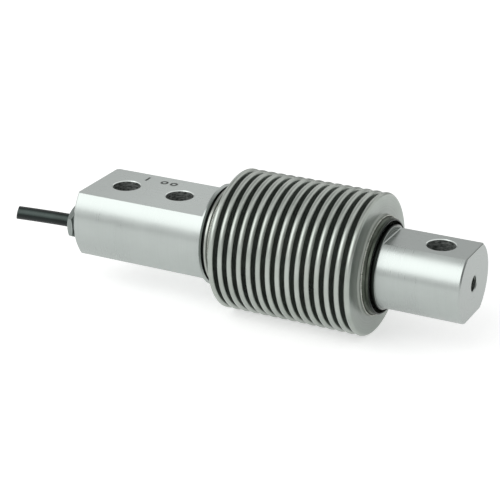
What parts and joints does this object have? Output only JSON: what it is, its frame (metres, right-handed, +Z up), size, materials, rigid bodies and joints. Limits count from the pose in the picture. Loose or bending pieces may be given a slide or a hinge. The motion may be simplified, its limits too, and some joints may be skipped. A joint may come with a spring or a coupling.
{
  "type": "weighing load cell",
  "caption": "Stainless bending beam load cell sealed by a welded metal bellows, bolted at one end and loaded at the other, with a short cable stub",
  "frame": {"origin": "midway between the two mounting holes, on the underside mounting face", "axes": "+X along the beam from the cable end to the load end, +Z up, normal to the milled flats, +Y across, away from the cable entry"},
  "size_m": [0.1434, 0.041, 0.041],
  "materials": {
    "body_steel": "satin, fine milled and turned",
    "bellows_steel": "satin, formed sheet",
    "weld_steel": "turned, with weld tint",
    "gland_steel": "satin",
    "seal_rubber": "matte",
    "jacket_black": "semi-gloss",
    "braid_tinned": "woven, tinned",
    "core_red": "semi-gloss",
    "core_black": "semi-gloss",
    "core_green": "semi-gloss",
    "core_white": "semi-gloss",
    "copper": "bright strand",
    "potting": "cast resin",
    "gauge_foil": "amber film",
    "board_green": "solder resist",
    "solder": "bright",
    "resistor_black": "ceramic chip"
  },
  "bodies": {
    "root": {"balance_resistor": "resistor_black", "beam_body": "body_steel", "bellows": "bellows_steel", "cable_jacket": "jacket_black", "cable_shield": "braid_tinned", "channel_potting": "potting", "conductor_black": "copper", "conductor_green": "copper", "conductor_red": "copper", "conductor_white": "copper", "core_black": "core_black", "core_green": "core_green", "core_red": "core_red", "core_white": "core_white", "gauge_leads_1": "copper", "gauge_leads_2": "copper", "gauge_leads_3": "copper", "gauge_leads_4": "copper", "gland_back_washer": "gland_steel", "gland_screw": "gland_steel", "gland_seal": "seal_rubber", "gland_thrust_washer": "gland_steel", "load_weld_ring": "weld_steel", "mount_weld_ring": "weld_steel", "solder_joints": "solder", "span_resistor_1": "resistor_black", "span_resistor_2": "resistor_black", "strain_gauge_1": "gauge_foil", "strain_gauge_2": "gauge_foil", "strain_gauge_3": "gauge_foil", "strain_gauge_4": "gauge_foil", "terminal_board": "board_green"}
  },
  "joints": []
}
